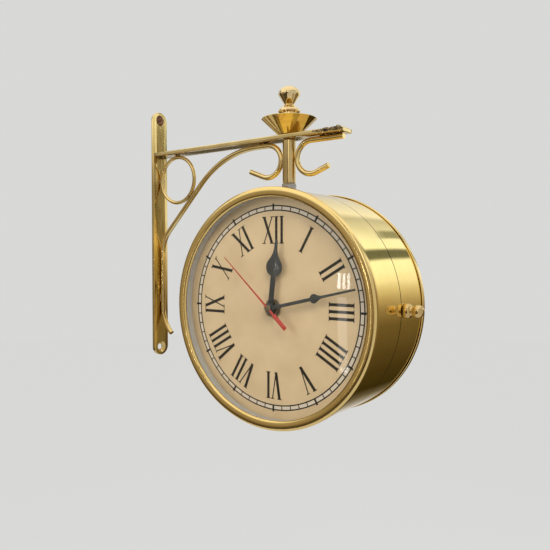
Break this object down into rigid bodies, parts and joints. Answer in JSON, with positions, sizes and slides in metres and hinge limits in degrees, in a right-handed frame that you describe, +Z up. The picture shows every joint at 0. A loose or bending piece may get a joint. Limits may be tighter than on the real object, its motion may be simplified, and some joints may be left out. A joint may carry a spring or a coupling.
{
  "type": "double sided bracket clock",
  "caption": "Double sided round wall clock in a brass drum, hung from a flat bracket with a ring, scrolls, a cup and a finial; the rear half swings open on a hinge.",
  "frame": {"origin": "middle of the wall plate's back face, on the wall", "axes": "+X straight out of the wall along the arm, +Z up, -Y out of the front dial"},
  "size_m": [0.2326, 0.078, 0.2424],
  "materials": {
    "polished_brass": "polished, with fine lathe and drawing lines",
    "dark_screw": "darkened, a little rusty",
    "bright_steel": "plain machined",
    "clear_glass": "clear, shallow dome",
    "grey_liner": "satin grey",
    "cream_dial": "matt printed cream",
    "black_plastic": "moulded, matt",
    "grey_plastic": "moulded, matt",
    "white_plastic": "moulded, smooth",
    "black_lacquer": "black lacquer",
    "red_lacquer": "red lacquer",
    "cell_sleeve": "printed sleeve, glossy"
  },
  "bodies": {
    "bracket": {"wall_plate": "polished_brass", "wall_screw": "dark_screw", "arm_bar": "polished_brass", "brace_rod": "polished_brass", "corner_ring": "polished_brass", "end_scroll": "polished_brass", "stem_tube": "polished_brass", "stem_nut": "bright_steel", "inner_washer": "bright_steel", "inner_nut": "bright_steel", "threaded_rod": "bright_steel", "cone_cup": "polished_brass", "finial": "polished_brass", "front_case": "polished_brass", "seam_ring": "polished_brass", "hinge_leaf_front": "polished_brass", "hinge_pin": "bright_steel", "front_bezel": "polished_brass", "front_glass": "clear_glass", "front_liner": "grey_liner", "front_dial": "cream_dial", "front_dial_ring": "polished_brass", "front_dial_washer": "bright_steel", "front_dial_nut": "polished_brass", "front_movement_case": "black_plastic", "front_movement_cover": "grey_plastic", "front_battery": "cell_sleeve"},
    "rear_half": {"rear_case": "polished_brass", "hinge_leaf_rear": "polished_brass", "pull_knob": "polished_brass", "knob_screw": "bright_steel", "rear_bezel": "polished_brass", "rear_glass": "clear_glass", "rear_liner": "grey_liner", "rear_dial": "cream_dial", "rear_dial_ring": "polished_brass", "rear_dial_washer": "bright_steel", "rear_dial_nut": "polished_brass", "rear_movement_case": "black_plastic", "rear_movement_cover": "grey_plastic", "rear_battery": "cell_sleeve"},
    "front_minute": {"front_minute_wheel": "white_plastic", "front_minute_hand": "black_lacquer"},
    "front_hour": {"front_hour_wheel": "white_plastic", "front_hour_hand": "black_lacquer"},
    "front_second": {"front_second_wheel": "white_plastic", "front_second_hand": "red_lacquer"},
    "front_setting": {"front_set_knob": "white_plastic"},
    "rear_minute": {"rear_minute_wheel": "white_plastic", "rear_minute_hand": "black_lacquer"},
    "rear_hour": {"rear_hour_wheel": "white_plastic", "rear_hour_hand": "black_lacquer"},
    "rear_second": {"rear_second_wheel": "white_plastic", "rear_second_hand": "red_lacquer"},
    "rear_setting": {"rear_set_knob": "white_plastic"}
  },
  "joints": [
    {"name": "rear_half_hinge", "type": "hinge", "parent": "bracket", "child": "rear_half", "pos_m": [0.0501, 0.01, -0.055], "axis": [0, 0, 1], "range_deg": [0, 90]},
    {"name": "front_minute_turn", "type": "hinge", "parent": "bracket", "child": "front_minute", "pos_m": [0.136, -0.023, -0.055], "axis": [0, 1, 0], "continuous": true},
    {"name": "front_hour_turn", "type": "hinge", "parent": "bracket", "child": "front_hour", "pos_m": [0.136, -0.022, -0.055], "axis": [0, 1, 0], "continuous": true},
    {"name": "front_second_turn", "type": "hinge", "parent": "bracket", "child": "front_second", "pos_m": [0.136, -0.025, -0.055], "axis": [0, 1, 0], "continuous": true},
    {"name": "front_setting_turn", "type": "hinge", "parent": "bracket", "child": "front_setting", "pos_m": [0.1187, 0.001, -0.055], "axis": [0, 1, 0], "continuous": true},
    {"name": "rear_minute_turn", "type": "hinge", "parent": "rear_half", "child": "rear_minute", "pos_m": [0.136, 0.043, -0.055], "axis": [0, -1, 0], "continuous": true},
    {"name": "rear_hour_turn", "type": "hinge", "parent": "rear_half", "child": "rear_hour", "pos_m": [0.136, 0.042, -0.055], "axis": [0, -1, 0], "continuous": true},
    {"name": "rear_second_turn", "type": "hinge", "parent": "rear_half", "child": "rear_second", "pos_m": [0.136, 0.045, -0.055], "axis": [0, -1, 0], "continuous": true},
    {"name": "rear_setting_turn", "type": "hinge", "parent": "rear_half", "child": "rear_setting", "pos_m": [0.1533, 0.019, -0.055], "axis": [0, -1, 0], "continuous": true}
  ],
  "couplings": [
    {"joint": "front_hour_turn", "follows": "front_minute_turn", "ratio": 0.083333},
    {"joint": "front_setting_turn", "follows": "front_minute_turn", "ratio": -1},
    {"joint": "rear_hour_turn", "follows": "rear_minute_turn", "ratio": 0.083333},
    {"joint": "rear_setting_turn", "follows": "rear_minute_turn", "ratio": -1}
  ]
}
